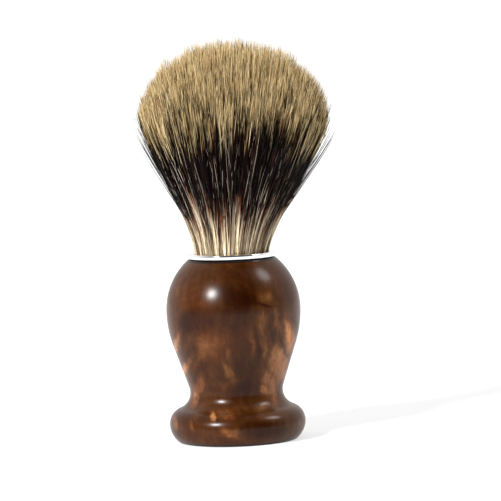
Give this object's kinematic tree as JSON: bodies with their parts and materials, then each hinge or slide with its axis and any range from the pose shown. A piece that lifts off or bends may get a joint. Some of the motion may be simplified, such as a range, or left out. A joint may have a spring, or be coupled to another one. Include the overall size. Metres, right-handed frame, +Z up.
{
  "type": "shaving brush",
  "caption": "Shaving brush with a bulb of badger-style hair in a bright metal collar on a turned burl wood handle with a waist and a round foot.",
  "frame": {"origin": "centre of the face that the foot stands on", "axes": "+Z up the brush's axis of symmetry from the foot to the tip of the hair; the hair's bend about +Y carries it towards +X"},
  "size_m": [0.0512, 0.0512, 0.11],
  "materials": {
    "burl_wood": "lacquered burl, satin gloss",
    "bright_metal": "polished plate",
    "hair_base": "natural hair, pale at the roots",
    "hair_tips": "natural hair, dark band under pale tips",
    "resin": "cured amber resin",
    "glue": "cured two-part glue",
    "cord": "waxed thread"
  },
  "bodies": {
    "handle": {"handle": "burl_wood", "socket_glue": "glue", "knot_plug": "resin", "binding_cord": "cord", "collar": "bright_metal", "hair_roots": "hair_base"},
    "knot": {"hair_core": "hair_tips", "hair_inner_ring": "hair_tips", "hair_outer_ring": "hair_tips"}
  },
  "joints": [
    {"name": "knot_bend", "type": "hinge", "parent": "handle", "child": "knot", "pos_m": [0, 0, 0.052], "axis": [0, 1, 0], "range_deg": [-30, 30], "stiffness_Nm_per_rad": 0.14}
  ]
}
